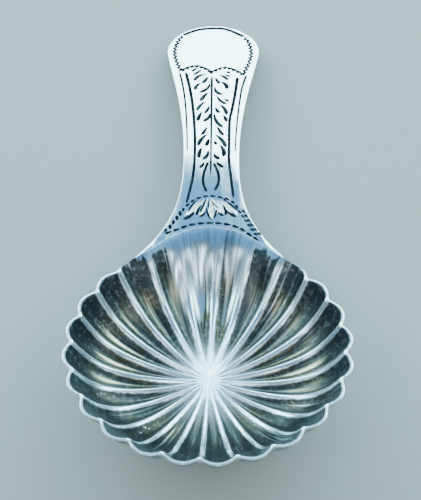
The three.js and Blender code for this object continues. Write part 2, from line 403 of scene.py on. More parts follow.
with edit_mode(bowl):
    bpy.ops.mesh.duplicate()
    bpy.ops.mesh.flip_normals()
for name in ("crest_gap", "shelter", "reach", "inside", "front"):
    bowl.data.attributes.new(name, "FLOAT", "POINT")
bowl.data.attributes.new("grain", "FLOAT_VECTOR", "POINT")
layers = bowl.data.attributes
for index, vertex in enumerate(bowl.data.vertices):
    angle = math.degrees(math.atan2(vertex.co.x, vertex.co.y))
    plain = vertex.co.xy.length / MM
    outside = vertex.select
    vertex.co = pressed(angle, plain, BOWL_SHEET if outside else 0)
    turn = math.radians(angle)
    along_flutes = (GRAIN * math.sin(turn), GRAIN * math.cos(turn), plain * GRAIN_STRETCH)
    layers["grain"].data[index].vector = along_flutes
    finish = {
        "crest_gap": crest_gap(angle, plain)[0],
        "shelter": sheltered(angle, plain),
        "reach": plain / RIM_RADIUS,
        "inside": 0 if outside else 1,
        "front": smooth(abs(angle), *FRONT_RAMP),
    }
    for name, value in finish.items():
        layers[name].data[index].value = value
print("Pressed:", len(bowl.data.vertices), "points with", len(finish) + 1, "attributes")

# %% Joined at the rim
with edit_mode(bowl):
    bpy.ops.mesh.select_mode(type="EDGE")
    bpy.ops.mesh.select_all(action="DESELECT")
    bpy.ops.mesh.select_non_manifold()
    bpy.ops.mesh.bridge_edge_loops()
print("Joined:", len(bowl.data.polygons), "faces")

# %% [markdown]
# ## The edge of the rim
# A filed edge is softened so that it doesn't cut the hand. The two edges of the rim get a bevel weight,
# but not under the handle, where the edge of the lip is buried in solder and stays sharp.

# %% Rounding edges with a bevel
EDGE_STEPS = 4
CORNER = math.radians(60)  # what turns more than this is a corner, for the method ANGLE


def round_edges(piece, width, method):
    """The edges that the method picks are rounded, over a width in millimetres."""
    rounding = piece.modifiers.new("rounded_edges", "BEVEL")
    rounding.width = width * MM
    rounding.segments = EDGE_STEPS
    rounding.limit_method = method
    rounding.angle_limit = CORNER
    apply_modifiers(piece)


# %% Softened rim
RIM_ROUNDING = 0.16
RIM_REACH = 0.999  # share of the rim's radius from which a point is on the rim
BOWL_CREASE = math.radians(50)  # steeper turns than this stay sharp in the shading

weights = bowl.data.attributes.new("bevel_weight_edge", "FLOAT", "EDGE")
reaches = [value.value for value in bowl.data.attributes["reach"].data]
skins = [value.value for value in bowl.data.attributes["inside"].data]
for edge in bowl.data.edges:
    first, second = edge.vertices
    middle = (bowl.data.vertices[first].co + bowl.data.vertices[second].co) / 2
    on_rim = min(reaches[first], reaches[second]) > RIM_REACH and skins[first] == skins[second]
    open_rim = abs(math.degrees(math.atan2(middle.x, middle.y))) > SEAM_ANGLE
    weights.data[edge.index].value = 1 if on_rim and open_rim else 0
round_edges(bowl, RIM_ROUNDING, "WEIGHT")
bpy.ops.object.shade_smooth_by_angle(angle=BOWL_CREASE)
lay_down(bowl)
print("Bowl:", len(bowl.data.polygons), "faces")

# %% [markdown]
# ## The outline of the handle
# The handle is sawn from strip. Its sides leave the shoulders on the rim, draw in to a neck and widen to
# a rounded end. Below the shoulders it carries on as a thin tongue that hides under the lip. The outline
# is drawn flat, as the smith would scribe it, from the same sizes as the bowl. An outline traced point by
# point would be quicker, but a later change of one size would no longer carry through.

# %% Sizes of the blank
SOLDER_FILM = 0.1
HANDLE_LENGTH = 44.4  # from the end of the lip to the tip
NECK_DISTANCE = 12.8  # from there to the narrowest place
NECK_HALF_WIDTH = 4.14
FLARE_SHARPNESS = 2.6  # how quickly the flare leaves the shoulders
END_HALF_WIDTH = 7.3  # at the widest place of the rounded end
END_LENGTH = 6.9  # from that widest place to the tip
WAIST_EASE = 1.3  # how full the outline is just before the rounded end
ROOT_CROWDING = 1.3  # how much closer the points lie near the shoulders
NECK = LIP_RADIUS + NECK_DISTANCE
WIDEST = LIP_RADIUS + HANDLE_LENGTH - END_LENGTH
print("Neck at", round(NECK, 1), "mm and widest place at", round(WIDEST, 1), "mm from the middle")

# %% [markdown]
# The right edge has three runs: from the shoulder in to the neck, out to the widest place, and round the
# end as a quarter of an ellipse.

# %% The right side
ROOT_STEPS = 50
SHAFT_STEPS = 50
END_STEPS = 24


def polar(angle, radius):
    """Across and along, for an angle from the handle's axis."""
    turn = math.radians(angle)
    return radius * math.sin(turn), radius * math.cos(turn)


def seam_radius(angle):
    """Where the face of the handle starts, one film of solder beyond the lip."""
    return wall_end(angle)[0] + SOLDER_FILM


def right_side():
    """The right edge of the handle, from the shoulder to just before the tip."""
    corner_x, corner_y = polar(SEAM_ANGLE, seam_radius(SEAM_ANGLE))
    points = []
    for step in range(ROOT_STEPS):
        share = (step / ROOT_STEPS) ** ROOT_CROWDING
        half_width = mix(NECK_HALF_WIDTH, corner_x, (1 - share) ** FLARE_SHARPNESS)
        points.append((half_width, mix(corner_y, NECK, share)))
    for step in range(SHAFT_STEPS):
        share = step / SHAFT_STEPS
        half_width = mix(NECK_HALF_WIDTH, END_HALF_WIDTH, 1 - (1 - share**2) ** WAIST_EASE)
        points.append((half_width, mix(NECK, WIDEST, share)))
    for step in range(END_STEPS):
        turn = math.radians(90 * step / END_STEPS)
        points.append((END_HALF_WIDTH * math.cos(turn), WIDEST + END_LENGTH * math.sin(turn)))
    return points


# %% [markdown]
# The left edge is the right one mirrored, and the nose of the tongue closes the outline.

# %% Outline of the blank
TONGUE_START = 0.6  # share of the wall's run where the tongue's nose lies
SEAM_STEPS = 40


def tongue_radius(angle):
    """Where the nose of the tongue lies under the lip."""
    return mix(DISH_RADIUS, wall_end(angle)[0], TONGUE_START)


side = right_side()
nose = []
for step in range(SEAM_STEPS + 1):
    angle = SEAM_ANGLE * (2 * step / SEAM_STEPS - 1)
    nose.append(polar(angle, tongue_radius(angle)))
tip = [(0, WIDEST + END_LENGTH)]
left = [(-x, y) for x, y in reversed(side)]
outline = nose + side + tip + left
print("Outline of the blank:", len(outline), "points")

# %% [markdown]
# ## Sawing the blank
# A filled circle with as many corners as the outline is the start, each corner is put on the outline, and
# the face is extruded down by the thickness of the strip. While it is flat the edges are rounded and the
# step for the lip is filed. A flat plate keeps both of these simple, and it is bent afterwards.

# %% Helpers that make a plate and cut a shape away
def plate(name, points, top, thickness):
    """A flat plate with that outline, from its top down."""
    bpy.ops.object.select_all(action="DESELECT")
    bpy.ops.mesh.primitive_circle_add(vertices=len(points), radius=MM, fill_type="NGON")
    made = bpy.context.object
    made.name = name
    for vertex, (x, y) in zip(made.data.vertices, points):
        vertex.co = Vector((x, y, top)) * MM
    down = Vector((0, 0, -thickness)) * MM
    with edit_mode(made):
        bpy.ops.mesh.extrude_region_move(TRANSFORM_OT_translate={"value": down})
        bpy.ops.mesh.select_all(action="SELECT")
        bpy.ops.mesh.normals_make_consistent(inside=False)
    return made


def cut_away(piece, tool):
    """The tool's shape is cut out of the piece, and the tool is thrown away."""
    cut = piece.modifiers.new("cut", "BOOLEAN")
    cut.operation = "DIFFERENCE"
    cut.solver = "EXACT"
    cut.use_self = True
    cut.material_mode = "TRANSFER"
    cut.object = tool
    apply_modifiers(piece)
    bpy.data.objects.remove(tool)


# %% The blank
ROOT_THICKNESS = 1.2
EDGE_ROUNDING = 0.26

face_silver = bpy.data.materials.new("engraved_silver")
handle = plate("engraved_handle", outline, 0, ROOT_THICKNESS)
handle.data.materials.append(face_silver)
round_edges(handle, EDGE_ROUNDING, "ANGLE")
print("Blank:", len(handle.data.polygons), "faces")

# %% [markdown]
# The lip of the bowl is to lie flush with the face of the handle. So the face is filed down, from the
# seam to the nose of the tongue, by the thickness of the sheet and one film of solder.

# %% The step for the lip
STEP_DEPTH = BOWL_SHEET + SOLDER_FILM
STEP_SIDE = 14  # how far the tool that files the step stands out at either side
STEP_SHOULDER = 15.64  # how far along the axis it reaches there
STEP_FRONT = 8
STEP_ABOVE = 1  # how high it stands above the face

step_outline = [(STEP_SIDE, STEP_SHOULDER)]
for step in range(SEAM_STEPS + 1):
    angle = SEAM_ANGLE * (1 - 2 * step / SEAM_STEPS)
    step_outline.append(polar(angle, seam_radius(angle)))
step_outline += [(-STEP_SIDE, STEP_SHOULDER), (-STEP_SIDE, STEP_FRONT), (STEP_SIDE, STEP_FRONT)]
lip_step = plate("lip_step", step_outline, STEP_ABOVE, STEP_ABOVE + STEP_DEPTH)
lip_step.data.materials.append(face_silver)
cut_away(handle, lip_step)
print("Blank with its step:", len(handle.data.polygons), "faces")

# %% [markdown]
# ## Lines for bending
# A flat face can't bend, so the plate is sliced across and along before it is engraved. Bisect cuts
# faces without moving anything, and slices a millimetre apart follow the gentle arch of the handle. The
# tongue follows the more curved underside of the lip, so there they are closer.

# %% Slices
ACROSS_SPACING = 1.0
TONGUE_SPACING = 0.5
ALONG_SPACING = 1.6
FIRST_SLICE = 14.0  # along the axis, at the tongue
TONGUE_END = 23.0
OUTER_SLICE = 6.5  # spacings from the axis to the outermost slice


def slice_plate(place, normal):
    """Cut the faces of the piece in edit mode by one plane."""
    bpy.ops.mesh.select_all(action="SELECT")
    bpy.ops.mesh.bisect(plane_co=Vector(place) * MM, plane_no=normal)


with edit_mode(handle):
    slice_y = FIRST_SLICE
    while slice_y < WIDEST + END_LENGTH:
        slice_plate((0, slice_y, 0), (0, 1, 0))
        slice_y += TONGUE_SPACING if slice_y < TONGUE_END else ACROSS_SPACING
    slice_x = -OUTER_SLICE * ALONG_SPACING
    beyond_last = (OUTER_SLICE + 0.5) * ALONG_SPACING
    while slice_x < beyond_last:
        slice_plate((slice_x, 0, 0), (1, 0, 0))
        slice_x += ALONG_SPACING
print("Sliced plate:", len(handle.data.polygons), "faces")

# %% [markdown]
# ## The graver
# Bright-cut ornament is made of short V-shaped cuts. The graver goes in deep, turns and runs out to a
# point, so each cut is a comma. Here a cut is a curve with a triangle as its bevel shape, and the radius
# at each point makes it wide or narrow. The dark cuts are one curve object and the bright ones another,
# so two Booleans engrave the whole handle. A bump texture would be easier, but its lines would vanish
# from the edge and the mesh.

# %% The graver and its strokes
CUT_STEEPNESS = 0.95  # depth over half width
LEAF_STEEPNESS = 0.2  # the same for the broad bright leaves
TOOL_ABOVE = 0.7  # height of the tool above the face, in half widths
STROKE_STEPS = 8
LINE_STEPS = 5
RUN_OUT = 0.1  # share of the width that is left at the end of a cut
LONGER = 0.12  # share that the pointed end runs on, because it is too thin to be measured
FULL_EARLY = 0.6  # below 1, a cut is widest nearer its start
FULL_SIDES = 0.5  # below 1, its sides are fuller than a sine


def linked(name, data):
    """A new object in the scene with that data."""
    made = bpy.data.objects.new(name, data)
    bpy.context.scene.collection.objects.link(made)
    return made


def new_strokes(name, steepness):
    """An empty set of strokes for a graver with that depth over half width."""
    edge = bpy.data.curves.new(name + "_edge", "CURVE")
    corners = edge.splines.new("POLY")
    corners.points.add(2)
    corners.use_cyclic_u = True
    top_half = 1 + TOOL_ABOVE / steepness
    triangle = ((-top_half, TOOL_ABOVE), (0, -steepness), (top_half, TOOL_ABOVE))
    for corner, (x, y) in zip(corners.points, triangle):
        corner.co = (x, y, 0, 1)
    made = bpy.data.curves.new(name, "CURVE")
    made.dimensions = "3D"
    made.twist_mode = "Z_UP"
    made.bevel_mode = "OBJECT"
    made.bevel_object = linked(name + "_graver", edge)
    made.use_fill_caps = True
    return made


dark_strokes = new_strokes("strokes", CUT_STEEPNESS)
leaf_strokes = new_strokes("leaf_strokes", LEAF_STEEPNESS)
print("Gravers:", dark_strokes.bevel_object.name, "and", leaf_strokes.bevel_object.name)

# %% [markdown]
# Every cut is a curve with a width at each of its points. A comma swells and thins, and it may bow to one
# side.

# %% One cut of the graver
def engrave(points, half_widths, strokes):
    """One cut through those points of the flat face, in millimetres."""
    spline = strokes.splines.new("POLY")
    spline.points.add(len(points) - 1)
    for spot, (x, y), half_width in zip(spline.points, points, half_widths):
        spot.co = (x * MM, y * MM, 0, 1)
        spot.radius = half_width * MM


def comma(start, end, width, bow=0, strokes=dark_strokes):
    """A cut that is full near its start and runs out at its end. The bow is to the left of the way."""
    way = (Vector(end) - Vector(start)) * (1 + LONGER)
    side = Vector((-way.y, way.x)).normalized()
    points, half_widths = [], []
    for step in range(STROKE_STEPS + 1):
        share = step / STROKE_STEPS
        spot = Vector(start) + way * share + side * bow * 4 * share * (1 - share)
        points.append(tuple(spot))
        fullness = math.sin(math.pi * share**FULL_EARLY) ** FULL_SIDES
        half_widths.append(width / 2 * max(fullness, RUN_OUT))
    engrave(points, half_widths, strokes)


# %% [markdown]
# A long line is one cut along a smooth way through a few places.

# %% Long cuts
def through(points):
    """A smooth way through the points, which at each one runs as the line between its neighbours does."""
    ends = [points[0], *points, points[-1]]
    way = []
    for before, here, there, after in zip(ends, ends[1:], ends[2:], ends[3:]):
        before, here, there, after = map(Vector, (before, here, there, after))
        for step in range(LINE_STEPS):
            share = step / LINE_STEPS
            spot = (
                here
                + (there - before) * share / 2
                + (before - here * 2.5 + there * 2 - after / 2) * share**2
                + (here * 1.5 - before / 2 - there * 1.5 + after / 2) * share**3
            )
            way.append(tuple(spot))
    return [*way, tuple(points[-1])]


def line(points, width, fade=0):
    """A long cut of even width, which may thin out towards its end."""
    way = through(points)
    last = len(way) - 1
    half_widths = [width / 2 * (1 - fade * index / last) for index in range(last + 1)]
    half_widths[0] = half_widths[last] = width / 2 * RUN_OUT
    engrave(way, half_widths, dark_strokes)


# %% [markdown]
# A wriggled border comes from a graver that is rocked from side to side as it goes. It leaves a row of
# short cuts that lean one way and then the other.

# %% Rows of small cuts
def paces(points, pace):
    """Spots at even paces along a smooth way, each with the direction there."""
    way = [Vector(point) for point in through(points)]
    spots, left_over = [], 0
    for here, there in zip(way, way[1:]):
        length = (there - here).length
        while left_over <= length:
            spots.append((here + (there - here) * left_over / length, (there - here).normalized()))
            left_over += pace
        left_over -= length
    return spots


def wriggle(points, pace, length, width, slant, rope=False):
    """Small cuts that lean one way and then the other, or all one way like the strands of a rope."""
    for index, (spot, direction) in enumerate(paces(points, pace)):
        lean = math.radians(slant if index % 2 or rope else -slant)
        turned = Matrix.Rotation(lean, 2) @ direction * length / 2
        comma(tuple(spot - turned), tuple(spot + turned), width)


def dashes(points, pace, behind, ahead, width):
    """Small cuts in line with the way, from behind each spot to ahead of it."""
    for spot, direction in paces(points, pace):
        comma(tuple(spot - direction * behind), tuple(spot + direction * ahead), width)


# %% [markdown]
# ## The ornament
# It is a common design of its time: a blank panel at the end inside a wriggled border, a stem with leaves
# on both sides, a drop at the neck and a fan of leaves where the handle spreads. A leaf of the stem is
# one comma, and a leaf of the fan is a broad shallow cut with dark commas round it. The places are given
# for the two sides one by one, because the engraver's eye wasn't a ruler, and the small differences from
# side to side are what makes it look hand cut. Lengths and places are millimetres on the flat blank.

# %% Border, panel and long lines
BORDER_SIDES = [
    [(-5.1, 54.9), (-5.85, 57.5), (-6.1, 59.9), (-5.6, 62.4), (-4.9, 63.7)],
    [(4.8, 54.1), (5.6, 56.6), (6.0, 59.3), (5.6, 61.9), (4.9, 63.3)],
]
BORDER_TOP = [(-4.6, 64.1), (-2.5, 65.3), (0, 65.7), (2.1, 65.4), (4.6, 63.7)]
SWAGS = [
    [(-4.65, 55.0), (-3.6, 55.7), (-2.4, 55.9), (-1.2, 55.3), (-0.25, 54.4)],
    [(-0.25, 54.4), (0.9, 55.2), (2.1, 55.5), (3.4, 54.9), (4.6, 53.9)],
]
INNER_LINES = [
    [(-4.25, 54.5), (-3.5, 50.4), (-2.9, 45.6), (-2.5, 39.3), (-2.5, 34.0), (-2.8, 30.4), (-3.5, 26.3)],
    [(3.85, 53.3), (3.5, 49.5), (3.0, 45.6), (2.65, 42.9), (2.6, 37.0), (2.6, 34.9), (2.9, 31.4),
     (3.3, 27.4)],
]
OUTER_LINES = [
    [(-5.2, 54.4), (-4.5, 50.4), (-4.0, 45.6), (-3.7, 40.2), (-3.6, 36.5)],
    [(5.25, 53.8), (4.5, 50.4), (4.1, 46.6), (3.8, 42.9), (3.6, 39.3), (3.5, 36.5)],
]
STEM = [(-0.15, 54.0), (-0.1, 43.0), (-0.05, 31.6)]

for border in BORDER_SIDES:
    wriggle(border, pace=0.42, length=0.9, width=0.42, slant=54)
wriggle(BORDER_TOP, pace=0.44, length=0.7, width=0.68, slant=24)
for swag in SWAGS:
    wriggle(swag, pace=0.8, length=0.84, width=0.66, slant=24, rope=True)
for inner in INNER_LINES:
    line(inner, width=0.54, fade=0.3)
for outer in OUTER_LINES:
    line(outer, width=0.38, fade=0.4)
line(STEM, width=0.42, fade=0.35)
print("Cuts of the border and the lines:", len(dark_strokes.splines))

# %% [markdown]
# The widths in the tables are those of fine lines. Cuts as narrow as that almost vanish in a picture of
# the whole spoon, so a leaf is cut more than twice as wide, and a cut of the fan about a third wider.

# %% Leaves on the stem
LEAF_LEAST = 0.3  # width of a leaf whose width is 0 in the table
LEAF_SPREAD = 1.2  # how much wider a leaf gets with each millimetre of its width in the table
LEFT_LEAVES = [  # outwards and up of the deep end, the same of the thin end, width, bow
    (3.25, 54.6, 2.6, 55.5, 0.18, 0), (3.15, 53.8, 1.95, 55.1, 0.2, 0.2),
    (2.85, 52.2, 1.15, 53.7, 0.28, -0.5), (1.65, 51.7, 0.9, 53.2, 0.3, 0.12),
    (2.65, 50.1, 1.9, 51.6, 0.28, -0.3), (2.1, 49.6, 0.65, 51.5, 0.28, 0.5),
    (1.8, 47.5, 0.8, 49.3, 0.34, -0.12), (2.4, 45.3, 1.15, 47.3, 0.24, -0.15),
    (2.15, 43.0, 1.6, 44.9, 0.3, -0.12), (1.15, 44.7, 0.5, 46.3, 0.22, 0.08),
    (1.4, 43.0, 0.5, 44.6, 0.3, 0.35), (1.55, 40.0, 0.8, 41.6, 0.22, 0.05),
    (2.0, 37.7, 0.75, 40.0, 0.3, -0.28), (0.9, 37.7, 0.5, 39.1, 0.3, 0.08),
    (1.8, 35.2, 1.45, 37.2, 0.28, -0.2), (1.35, 34.9, 0.6, 36.7, 0.28, 0.32),
    (1.65, 33.2, 1.05, 34.3, 0.2, 0),
]
RIGHT_LEAVES = [
    (2.65, 54.1, 2.15, 54.6, 0.2, 0), (2.8, 53.4, 1.85, 53.8, 0.14, 0.05),
    (2.35, 52.4, 1.1, 53.6, 0.26, -0.22), (2.15, 50.3, 1.25, 51.9, 0.36, -0.42),
    (1.1, 51.6, 0.5, 52.9, 0.26, 0.06), (1.6, 49.0, 0.5, 50.7, 0.28, 0.46),
    (2.55, 47.45, 1.85, 48.0, 0.2, 0), (2.2, 46.8, 0.8, 48.6, 0.24, 0.26),
    (2.2, 44.4, 1.2, 46.5, 0.32, -0.3), (1.15, 44.8, 0.55, 46.0, 0.26, 0.08),
    (2.2, 42.9, 1.75, 44.2, 0.26, -0.08), (1.75, 41.6, 0.5, 44.4, 0.28, 0.42),
    (1.8, 39.9, 0.9, 41.7, 0.26, 0.08), (2.15, 37.4, 0.65, 39.9, 0.32, -0.27),
    (0.75, 38.0, 0.4, 38.7, 0.22, 0), (1.75, 35.5, 1.25, 37.7, 0.34, -0.34),
    (1.3, 35.1, 0.45, 36.1, 0.3, 0.22), (1.85, 33.3, 0.8, 34.4, 0.24, 0.05),
]

for sideways, leaves in ((-1, LEFT_LEAVES), (1, RIGHT_LEAVES)):
    for deep_x, deep_y, thin_x, thin_y, width, bow in leaves:
        deep, thin = (sideways * deep_x, deep_y), (sideways * thin_x, thin_y)
        comma(deep, thin, LEAF_LEAST + width * LEAF_SPREAD, sideways * bow)
print("Leaves on the stem:", len(LEFT_LEAVES), "left and", len(RIGHT_LEAVES), "right")

# %% Drop at the neck, fan at the root
DROP = [
    [(-0.45, 34.5), (-0.95, 32.75), (-1.17, 31.2), (-1.06, 30.0), (-0.6, 28.6)],
    [(0.35, 34.3), (0.9, 32.7), (1.15, 31.2), (1.0, 30.0), (0.53, 28.8)],
]
FAN_SPREAD = 1.35  # how many times as wide a cut of the fan is as its line
BODY_SHARE = 0.85  # the bright parts are cut a little narrower, so that they stay apart
FAN = [  # deep end, thin end, width, bow to the left of the way
    ((-3.9, 23.4), (-2.4, 24.9), 0.42, -0.25), ((-3.2, 24.8), (-2.1, 26.8), 0.26, 0.12),
    ((-2.0, 24.2), (-1.4, 26.0), 0.36, 0.13), ((-1.5, 24.6), (-0.7, 27.1), 0.3, 0),
    ((-1.6, 24.0), (-0.8, 24.9), 0.34, -0.18), ((0.2, 23.4), (-0.5, 25.5), 0.3, 0.16),
    ((0.4, 23.6), (0.9, 25.3), 0.28, -0.08), ((-0.3, 25.4), (-0.1, 27.3), 0.2, 0.05),
    ((1.2, 25.5), (0.1, 27.1), 0.24, 0.12), ((1.9, 24.1), (1.1, 25.0), 0.32, 0.13),
    ((2.2, 24.2), (1.8, 26.1), 0.36, -0.13), ((3.7, 23.9), (2.4, 25.2), 0.42, 0.18),
    ((4.0, 24.9), (1.8, 27.2), 0.28, -0.08),
]
LEAF_BODIES = [  # deep end, thin end, width of the bright part
    ((-3.5, 24.3), (-1.7, 26.6), 0.75), ((-2.6, 24.4), (-1.1, 26.9), 0.6),
    ((-1.5, 24.2), (-0.5, 27.1), 0.75),
    ((0.1, 23.5), (0.0, 27.1), 1.0), ((1.4, 24.5), (0.4, 27.0), 0.8), ((2.1, 24.6), (1.0, 26.9), 0.6),
    ((3.0, 24.5), (1.6, 26.8), 0.8), ((3.8, 24.6), (2.3, 26.5), 0.5),
]

for arc in DROP:
    line(arc, width=0.42)
for deep, thin, width, bow in FAN:
    comma(deep, thin, width * FAN_SPREAD, bow)
for deep, thin, width in LEAF_BODIES:
    comma(deep, thin, width * BODY_SHARE, strokes=leaf_strokes)
print("Leaves of the fan:", len(leaf_strokes.splines), "bright cuts")

# %% [markdown]
# Dashes run round the fan and along the seam, and a rope of small cuts runs up each shoulder.

# %% Borders of the root
ROOT_ARC = [
    (-3.3, 26.1), (-2.3, 27.1), (-1.0, 27.7), (0.1, 27.8), (1.3, 27.6), (2.4, 27.2), (3.5, 26.3),
    (4.1, 25.0),
]
SEAM_BORDER = [
    (-5.9, 20.9), (-4.7, 21.5), (-2.6, 22.5), (0.2, 22.85), (2.6, 22.5), (4.3, 21.7), (5.3, 20.8),
    (6.7, 19.5),
]
SHOULDER_LINES = [
    [(-3.9, 25.2), (-4.5, 23.9), (-5.2, 22.8), (-5.8, 21.6)],
    [(-4.4, 24.6), (-5.0, 23.4), (-5.7, 22.2), (-6.3, 21.3)],
    [(4.2, 24.8), (5.0, 23.2), (5.9, 21.5), (6.9, 19.9)],
    [(4.7, 24.9), (5.5, 23.1), (6.4, 21.5), (7.4, 20.0)],
]

dashes(ROOT_ARC, pace=1.05, behind=0.42, ahead=0.34, width=0.42)
dashes(SEAM_BORDER, pace=1.25, behind=0.54, ahead=0.44, width=0.48)
for shoulder in SHOULDER_LINES:
    wriggle(shoulder, pace=0.95, length=0.68, width=0.4, slant=14, rope=True)
print("Cuts:", len(dark_strokes.splines), "dark and", len(leaf_strokes.splines), "bright")

# %% [markdown]
# Each set of strokes turns into one solid mesh and is cut out of the plate by a Boolean. The new faces
# take over the tool's material, so the bottom of a cut can be dark or bright from the start.

# %% Cutting the ornament
def cut_strokes(strokes, material):
    """The strokes become one solid tool that is cut out of the handle."""
    tool = linked("engraving", strokes)
    select_only(tool)
    bpy.ops.object.convert(target="MESH")
    tool = bpy.context.object
    with edit_mode(tool):
        bpy.ops.mesh.normals_make_consistent(inside=False)
    bpy.data.objects.remove(strokes.bevel_object)
    tool.data.materials.append(material)
    cut_away(handle, tool)


leaf_silver = bpy.data.materials.new("leaf_silver")
cut_silver = bpy.data.materials.new("cut_silver")
cut_strokes(leaf_strokes, leaf_silver)
cut_strokes(dark_strokes, cut_silver)
print("Engraved plate:", len(handle.data.polygons), "faces")

# %% [markdown]
# ## Bending the handle
# The engraved plate is bent to the long arch of the handle. Its root meets the lip of the bowl at the
# lip's own height, and the tongue follows the underside of the lip, one film of solder below it. Every
# point keeps its place in plan and its distance from the face.

# %% The arch of the handle
BEND_RADIUS = 253  # of the long arch
FLAT_LENGTH = 10  # the flat panel at the end, back from the tip
PANEL_START = LIP_RADIUS + HANDLE_LENGTH - FLAT_LENGTH


def arch(y):
    """Height of the handle's face along its axis."""
    run = min(y, PANEL_START) - LIP_RADIUS
    panel_slope = LIP_SLOPE - (PANEL_START - LIP_RADIUS) / BEND_RADIUS
    return (
        LIP_HEIGHT
        + LIP_SLOPE * run
        - run**2 / (2 * BEND_RADIUS)
        + panel_slope * max(y - PANEL_START, 0)
    )


print("The arch rises from", arch(LIP_RADIUS), "to", round(arch(PANEL_START), 2), "mm at the panel")

# %% [markdown]
# A point of the face must know how high the seam stands beside it. The seam is given by angle, so the
# angle that belongs to a place across the handle is sought by halving.

# %% The seam and the tongue
TONGUE_EDGE = 0.2  # share of the tongue's thickness that is left at its sides
TONGUE_NOSE = 0.35  # share of the tongue's thickness that is left at its front edge
TONGUE_FULL = 0.2  # share of the wall's run in which it gains the rest
TONGUE_THICKNESS = ROOT_THICKNESS - STEP_DEPTH
END_THICKNESS = 0.95  # of the flat panel
HALVINGS = 20  # of the range in which an angle is sought


def seam_angle_at(x):
    """The angle at which the seam stands that far from the axis."""
    low, high = 0, SEAM_ANGLE
    for _ in range(HALVINGS):
        middle = (low + high) / 2
        if polar(middle, seam_radius(middle))[0] < abs(x):
            low = middle
        else:
            high = middle
    return low


def tongue_thickness(angle):
    """The tongue thins out towards its sides."""
    return TONGUE_THICKNESS * mix(1, TONGUE_EDGE, (angle / SEAM_ANGLE) ** 2)


print("The tongue is", round(tongue_thickness(0), 2), "mm thick in the middle")


# %% [markdown]
# The face and the tongue are bent by two rules, one for each side of the seam. Behind the seam the face
# eases from the seam's height into the long arch, and the strip thins towards its end.

# %% Bending the face and the tongue
def bent_face(x, y, depth):
    """A point of the handle outside the seam."""
    angle = seam_angle_at(x)
    seam_y = polar(angle, seam_radius(angle))[1]
    seam_height = wall_end(angle)[1]
    keep = (1 - min(max((y - seam_y) / (NECK - seam_y), 0), 1)) ** 2
    gone = min(max((y - LIP_RADIUS) / (PANEL_START - LIP_RADIUS), 0), 1)
    below_step = mix(ROOT_THICKNESS, END_THICKNESS, gone) - STEP_DEPTH
    below_step = mix(below_step, tongue_thickness(angle), keep)
    if depth > STEP_DEPTH:
        depth = STEP_DEPTH + (depth - STEP_DEPTH) * below_step / TONGUE_THICKNESS
    return Vector((x, y, arch(y) + (seam_height - arch(seam_y)) * keep - depth)) * MM


def bent_tongue(angle, radius, depth):
    """A point of the tongue, measured from the face of the lip above it."""
    along = (radius - DISH_RADIUS) / (wall_end(angle)[0] - DISH_RADIUS)
    left = mix(TONGUE_NOSE, 1, smooth(along, TONGUE_START, TONGUE_START + TONGUE_FULL))
    below_step = (depth - STEP_DEPTH) / TONGUE_THICKNESS * tongue_thickness(angle) * left
    floor = channel_depth(angle, radius, along)
    return sheet_point(angle, along, wall(angle, along), floor + STEP_DEPTH + below_step)


# %% Bending the handle
AT_SEAM = 0.03  # points closer to the seam than this belong to the handle's face
HANDLE_CREASE = math.radians(28)  # steeper turns than this stay sharp, as the sides of the cuts do

for vertex in handle.data.vertices:
    x, y, depth = vertex.co.x / MM, vertex.co.y / MM, -vertex.co.z / MM
    angle, radius = math.degrees(math.atan2(x, y)), math.hypot(x, y)
    if radius < seam_radius(angle) - AT_SEAM:
        vertex.co = bent_tongue(angle, min(radius, wall_end(angle)[0]), depth)
    else:
        vertex.co = bent_face(x, y, depth)
select_only(handle)
bpy.ops.object.shade_smooth_by_angle(angle=HANDLE_CREASE)
lay_down(handle)
print("Handle:", len(handle.data.polygons), "faces,", len(handle.data.vertices), "points")

# %% [markdown]
# ## How old silver looks
# Old silver is one metal in many states: bright where hands and cloths reach it, finely scratched all
# over, and dark where tarnish is never rubbed off. Each state is a mix of colour, roughness and relief
# that noise and the attributes of the mesh steer. A photograph pasted on would be quicker, but nodes
# keep their detail at any distance and from any side. A few helpers keep the node code short. These
# make a node and link it.

# %% Helpers that make a node
def silver(material):
    """The node tree and the shader of a material, set to metal."""
    material.use_nodes = True
    shader = material.node_tree.nodes["Principled BSDF"]
    shader.inputs["Metallic"].default_value = 1
    return material.node_tree, shader


def node(tree, kind, **settings):
    """A new shader node with those settings."""
    made = tree.nodes.new("ShaderNode" + kind)
    for name, value in settings.items():
        setattr(made, name, value)
    return made


def feed(tree, socket, value):
    """A number or colour is set on the socket, and an output is linked to it."""
    if isinstance(value, tuple):
        socket.default_value = (*value, 1)
    elif isinstance(value, (int, float)):
        socket.default_value = value
    else:
        tree.links.new(value, socket)


def attribute(tree, name):
    """A number that the mesh holds at each of its points."""
    return node(tree, "Attribute", attribute_name=name).outputs["Fac"]


def coat(tree, shader, colour, roughness):
    """Give the shader its colour and its roughness."""
    feed(tree, shader.inputs["Base Color"], colour)
    feed(tree, shader.inputs["Roughness"], roughness)


# %% [markdown]
# Noise makes things irregular. A ramp turns it into a soft step, so that a surface changes from one state
# to the other between two values.

# %% Helpers for noise and ramps
BRUSHED_DETAIL = 2


def noise(tree, scale, detail=4, vector=None):
    """Noise on the place in the object, or along another vector."""
    made = node(tree, "TexNoise")
    made.inputs["Scale"].default_value = scale
    made.inputs["Detail"].default_value = detail
    feed(tree, made.inputs["Vector"], vector or node(tree, "TexCoord").outputs["Object"])
    return made.outputs["Fac"]


def brushed(tree, scale, turn, stretch):
    """Noise that is drawn out into scratches, turned by an angle in degrees."""
    mapping = node(tree, "Mapping")
    mapping.inputs["Rotation"].default_value = (0, 0, math.radians(turn))
    mapping.inputs["Scale"].default_value = (1, stretch, 1)
    feed(tree, mapping.inputs["Vector"], node(tree, "TexCoord").outputs["Object"])
    return noise(tree, scale, BRUSHED_DETAIL, mapping.outputs["Vector"])


